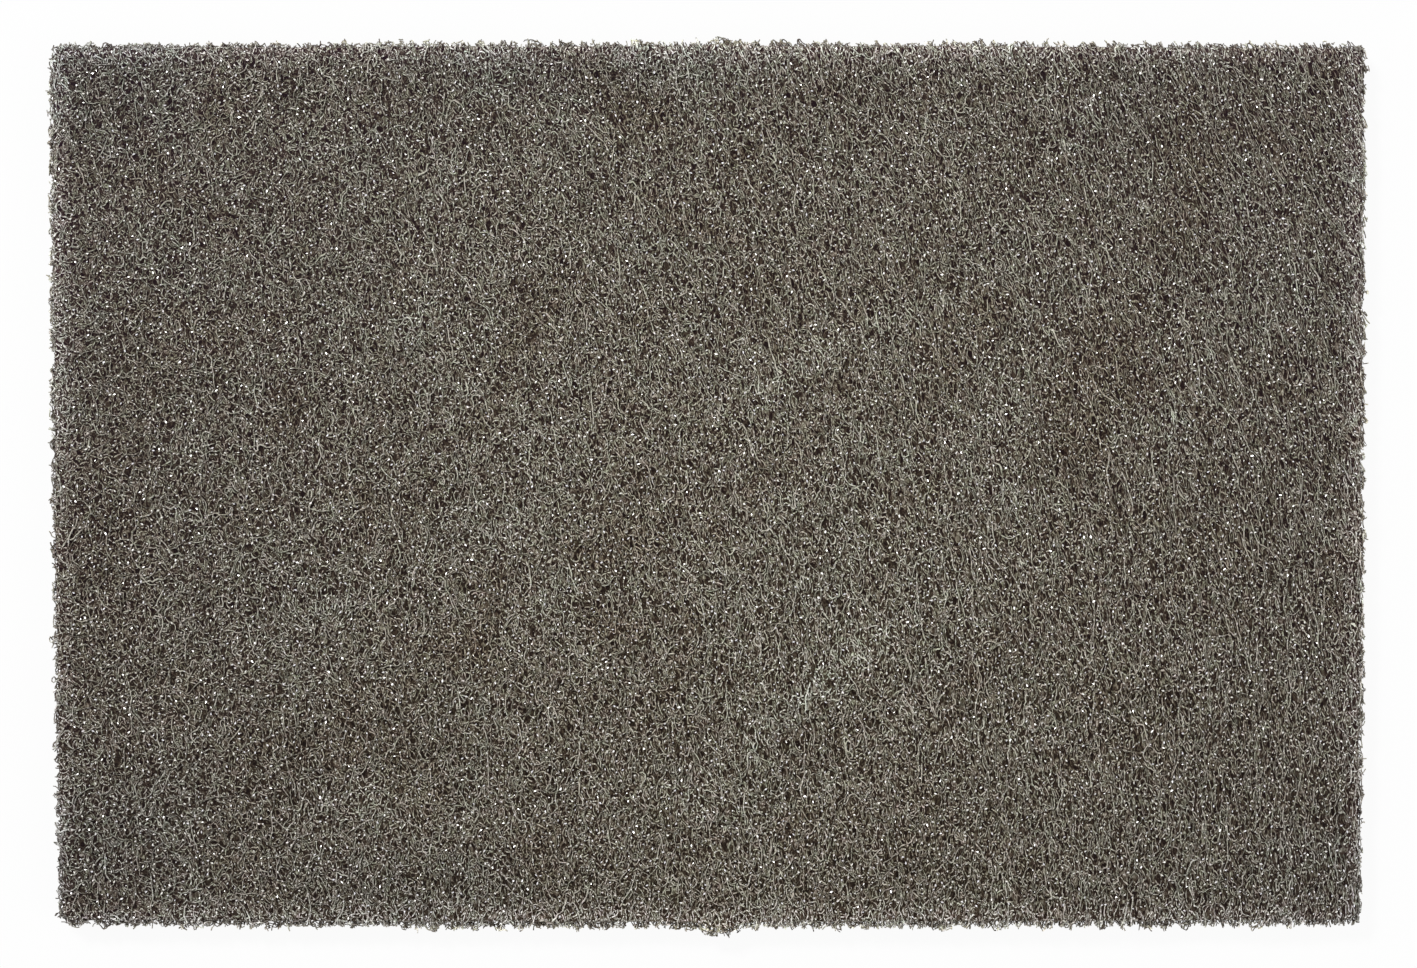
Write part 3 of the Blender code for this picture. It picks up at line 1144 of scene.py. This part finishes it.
def fibre_material(grit, drift):
    """The fibres in view: pale resin, darker where they dive with painted shade and dust, with bright grains
    on them, partly painted glints.
    """
    material, tree, shader = plain_material("abrasive_fibre")
    coordinates = add(tree, "ShaderNodeTexCoord").outputs
    place = coordinates["Object"]
    tone = carried(tree, "fibre_tone")
    depth = carried(tree, "web_depth")
    shown = ranged(tree, depth, 0.0, FULL_DEPTH, 1.0, 0.0)
    patchy = ranged(tree, noise(tree, place, BEAD_FINENESS, 1.0), 0.3, 0.7, -FIBRE_MOTTLE, FIBRE_MOTTLE)
    # Deeper fibres are darker: painted shade, and dust
    value = ranged(tree, depth, 0.0, FULL_DEPTH, SHALLOW_TONE, 0.0)
    value = plus(tree, value, times(tree, tone, OWN_TONE))
    # Painted shade on a fibre's sides and a painted highlight on its top, by which way its surface faces
    lie = height_of(tree, coordinates["Normal"])
    crest = ranged(tree, maths(tree, "ABSOLUTE", lie), 0.2, 0.95, -SIDE_SHADE, CREST_LIGHT)
    value = plus(tree, value, times(tree, crest, inner_share(tree, place)))
    steady = ranged(tree, tone, 0.45, 0.8, 1.0, PALE_MOTTLE)
    value = plus(tree, value, times(tree, patchy, steady))
    colour = ramp(tree, value, FIBRE_COLOURS)
    grains = use_group(tree, grit, Vector=place, **FIBRE_GRIT)
    colour = use_group(tree, drift, Vector=place, Color=colour)["Color"]
    # Bright grit, partly a painted glint, shows only on fibres near the surface
    bright = times(tree, grains["Bright"], shown)
    colour = mixed_colour(tree, bright, colour, GRIT_AND_GLINT_WHITE)
    feed(tree, shader.inputs["Base Color"], colour)
    roughness = ranged(tree, bright, 0.0, 1.0, RESIN_ROUGHNESS, GLINT_ROUGHNESS)
    feed(tree, shader.inputs["Roughness"], roughness)
    bumped(tree, shader, grains["Height"], *FIBRE_BUMP)
    return material


def inner_share(tree, place):
    """One over the faces, falling to nothing at the cut edge."""
    centred = vector_maths(tree, "ABSOLUTE", vector_maths(tree, "SUBTRACT", place, tuple(CENTRE)))
    sides = parts_of(tree, centred)
    across = ranged(tree, sides["X"], LENGTH / 2 - CORNER_ZONE, LENGTH / 2 - CORNER_ZONE / 4, 1.0, 0.0)
    along = ranged(tree, sides["Y"], WIDTH / 2 - CORNER_ZONE, WIDTH / 2 - CORNER_ZONE / 4, 1.0, 0.0)
    return times(tree, across, along)


def grain_material():
    """Clear to milky mineral grains, each with a tint of its own, that flash as cut stones do; the palest
    are partly painted glints.
    """
    material, tree, shader = plain_material("abrasive_grain")
    shader.inputs["Roughness"].default_value = GRAIN_ROUGHNESS
    shader.inputs["IOR"].default_value = GRAIN_IOR
    tone = carried(tree, "grain_tone")
    place = add(tree, "ShaderNodeTexCoord").outputs["Object"]
    colour = ramp(tree, tone, GRAIN_AND_GLINT_COLOURS)
    clouded = ranged(tree, noise(tree, place, CLOUDING_FINENESS, 1.0), 0.35, 0.65, 0.0, CLOUDING_SHARE)
    colour = tinted(tree, clouded, colour, CLOUDED_GRAIN)
    feed(tree, shader.inputs["Base Color"], colour)
    return material


def core_material(buried, grit, drift):
    """The inside of the web: fibres at several depths over gaps, darker with depth as painted shade."""
    material, tree, shader = plain_material("buried_web")
    shader.inputs["Roughness"].default_value = CORE_ROUGHNESS
    shader.inputs["Specular IOR Level"].default_value = CORE_SPECULAR
    coordinates = add(tree, "ShaderNodeTexCoord").outputs
    place = coordinates["Object"]
    pit = carried(tree, "pit")
    laid = spread_flat(tree, place, coordinates["Normal"])
    web = use_group(tree, buried, Vector=laid, Half_Width=DRAWN_HALF_WIDTH)
    grains = use_group(tree, grit, Vector=place, **CORE_GRIT)
    tone = times(tree, web["Tone"], ranged(tree, pit, 0.0, 1.0, 1.0, PIT_SHADE))
    facing = maths(tree, "ABSOLUTE", height_of(tree, coordinates["Normal"]))
    hole = net_of_holes(tree, drawn_out(tree, place))["open"]
    hole = times(tree, hole, ranged(tree, facing, 0.5, 0.8))
    hole = times(tree, hole, inner_share(tree, place))
    tone = times(tree, tone, ranged(tree, hole, 0.0, 1.0, 1.0, 1.0 - HOLE_SHADE))
    colour = ramp(tree, tone, WEB_COLOURS)
    colour = use_group(tree, drift, Vector=place, Color=colour)["Color"]
    # Bright grit, partly a painted glint, on the paler parts of the web
    bright = times(tree, grains["Bright"], ranged(tree, tone, 0.35, 0.6))
    colour = mixed_colour(tree, bright, colour, GRIT_AND_GLINT_WHITE)
    feed(tree, shader.inputs["Base Color"], colour)
    bumped(tree, shader, noise(tree, place, BEAD_FINENESS, 1.0), *CORE_BUMP)
    return material


def spread_flat(tree, place, normal):
    """The surface laid out flat: both faces as seen from above, the cut edge by its run and its height."""
    drawn = drawn_out(tree, place)
    gathered = vector_maths(tree, "SUBTRACT", drawn, net_of_holes(tree, drawn)["push"])
    parts = parts_of(tree, gathered)
    upright = maths(tree, "ABSOLUTE", height_of(tree, normal))
    on_edge = maths(tree, "LESS_THAN", upright, EDGE_NORMAL)
    run = plus(tree, parts["X"], times(tree, parts["Y"], on_edge))
    return vector_of(tree, run, mixed_value(tree, on_edge, parts["Y"], parts["Z"]))


def drawn_out(tree, place):
    """Coordinates whose patterns come out drawn out across the pad, as the modelled fibres are."""
    parts = parts_of(tree, place)
    share = ranged(tree, parts["X"], DRAWN_FROM, DRAWN_TO)
    ramped = times(tree, share, share, (DRAWN_TO - DRAWN_FROM) / 2)
    wider = times(tree, ramped, DRAWN_SHARE)
    up = minus(tree, parts["Y"], LOW.y)
    leaning = times(tree, up, up, DRAWN_LEAN / 2 / WIDTH)
    x = plus(tree, parts["X"], plus(tree, wider, times(tree, leaning, share)))
    y = times(tree, parts["Y"], ranged(tree, share, 0.0, 1.0, 1.0, 1.0 - DRAWN_SHARE))
    return vector_of(tree, x, y, parts["Z"])


def camera():
    data = bpy.data.cameras.new("camera")
    data.lens = LENS
    data.sensor_width = SENSOR
    data.clip_end = 20.0
    thing = bpy.data.objects.new("camera", data)
    away = PHOTO_WIDTH * METRES_PER_PIXEL * LENS / SENSOR
    x, y = at_pixel(PHOTO_WIDTH / 2, PHOTO_HEIGHT / 2)
    thing.location = (CENTRE.x + x, CENTRE.y + y, CENTRE.z + away)
    bpy.context.scene.collection.objects.link(thing)
    bpy.context.scene.camera = thing


def lamp(name, place, size, power):
    data = bpy.data.lights.new(name, "AREA")
    data.size = size
    data.energy = power
    thing = bpy.data.objects.new(name, data)
    thing.location = place
    thing.rotation_euler = (-Vector(place)).to_track_quat("-Z", "Y").to_euler()
    bpy.context.scene.collection.objects.link(thing)


def seen_directly(tree):
    """1 on a ray from the camera, or on one that a glossy or clear surface sends on."""
    path = add(tree, "ShaderNodeLightPath").outputs
    seen = maths(tree, "MAXIMUM", path["Is Camera Ray"], path["Is Glossy Ray"])
    return maths(tree, "MAXIMUM", seen, path["Is Transmission Ray"])


def sky():
    world = bpy.data.worlds.new("studio")
    world.use_nodes = True
    tree = world.node_tree
    background = tree.nodes["Background"]
    background.inputs["Color"].default_value = (1.0, 1.0, 1.0, 1.0)
    level = ranged(tree, seen_directly(tree), 0.0, 1.0, SKY_LEVEL, 1.0)
    feed(tree, background.inputs["Strength"], level)
    bpy.context.scene.world = world


def floor():
    mesh = bmesh.new()
    bmesh.ops.create_grid(mesh, x_segments=1, y_segments=1, size=FLOOR_SIZE / 2)
    data = bpy.data.meshes.new("floor")
    mesh.to_mesh(data)
    mesh.free()
    thing = bpy.data.objects.new("floor", data)
    bpy.context.scene.collection.objects.link(thing)
    material = bpy.data.materials.new("pale_floor")
    material.use_nodes = True
    tree = material.node_tree
    tree.nodes.remove(tree.nodes["Principled BSDF"])
    matt = add(tree, "ShaderNodeBsdfDiffuse", Color=(0.9, 0.9, 0.9, 1.0)).outputs[0]
    white = add(tree, "ShaderNodeEmission", Color=(1.0, 1.0, 1.0, 1.0), Strength=1.0).outputs[0]
    share = times(tree, seen_directly(tree), FLOOR_OWN_WHITE)
    mixed = add(tree, "ShaderNodeMixShader")
    feed(tree, mixed.inputs[0], share)
    feed(tree, mixed.inputs[1], matt)
    feed(tree, mixed.inputs[2], white)
    feed(tree, tree.nodes["Material Output"].inputs["Surface"], mixed.outputs[0])
    data.materials.append(material)


camera()
sky()
lamp("key", *KEY_LAMP)
lamp("fill", *FILL_LAMP)
floor()

GRIT = resin_grit()
DRIFT = web_drift()
FIBRE_MATERIAL = fibre_material(GRIT, DRIFT)
CRIMPED = fibre_tree()
BURIED = buried_fibres(bent_strands(), looped_strands())

PIECES = [core("web_core", core_material(BURIED, GRIT, DRIFT))]
for number in (1, 2, 3):
    layer = {**UPPER_FIBRES, "Seed": 10 * number}
    PIECES.append(fibres(f"upper_fibres_{number}", CRIMPED, FIBRE_MATERIAL, layer))
PIECES.append(fibres("edge_fibres", CRIMPED, FIBRE_MATERIAL, EDGE_FIBRES))
PIECES.append(fibres("underside_fibres", CRIMPED, FIBRE_MATERIAL, UNDERSIDE_FIBRES))
PIECES.append(grains("abrasive_grains", grit_tree(), PIECES[:4], grain_material(), GRAINS))

for piece in PIECES:
    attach(piece, "root")
    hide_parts(PAD)

bpy.context.scene.view_settings.view_transform = "Standard"
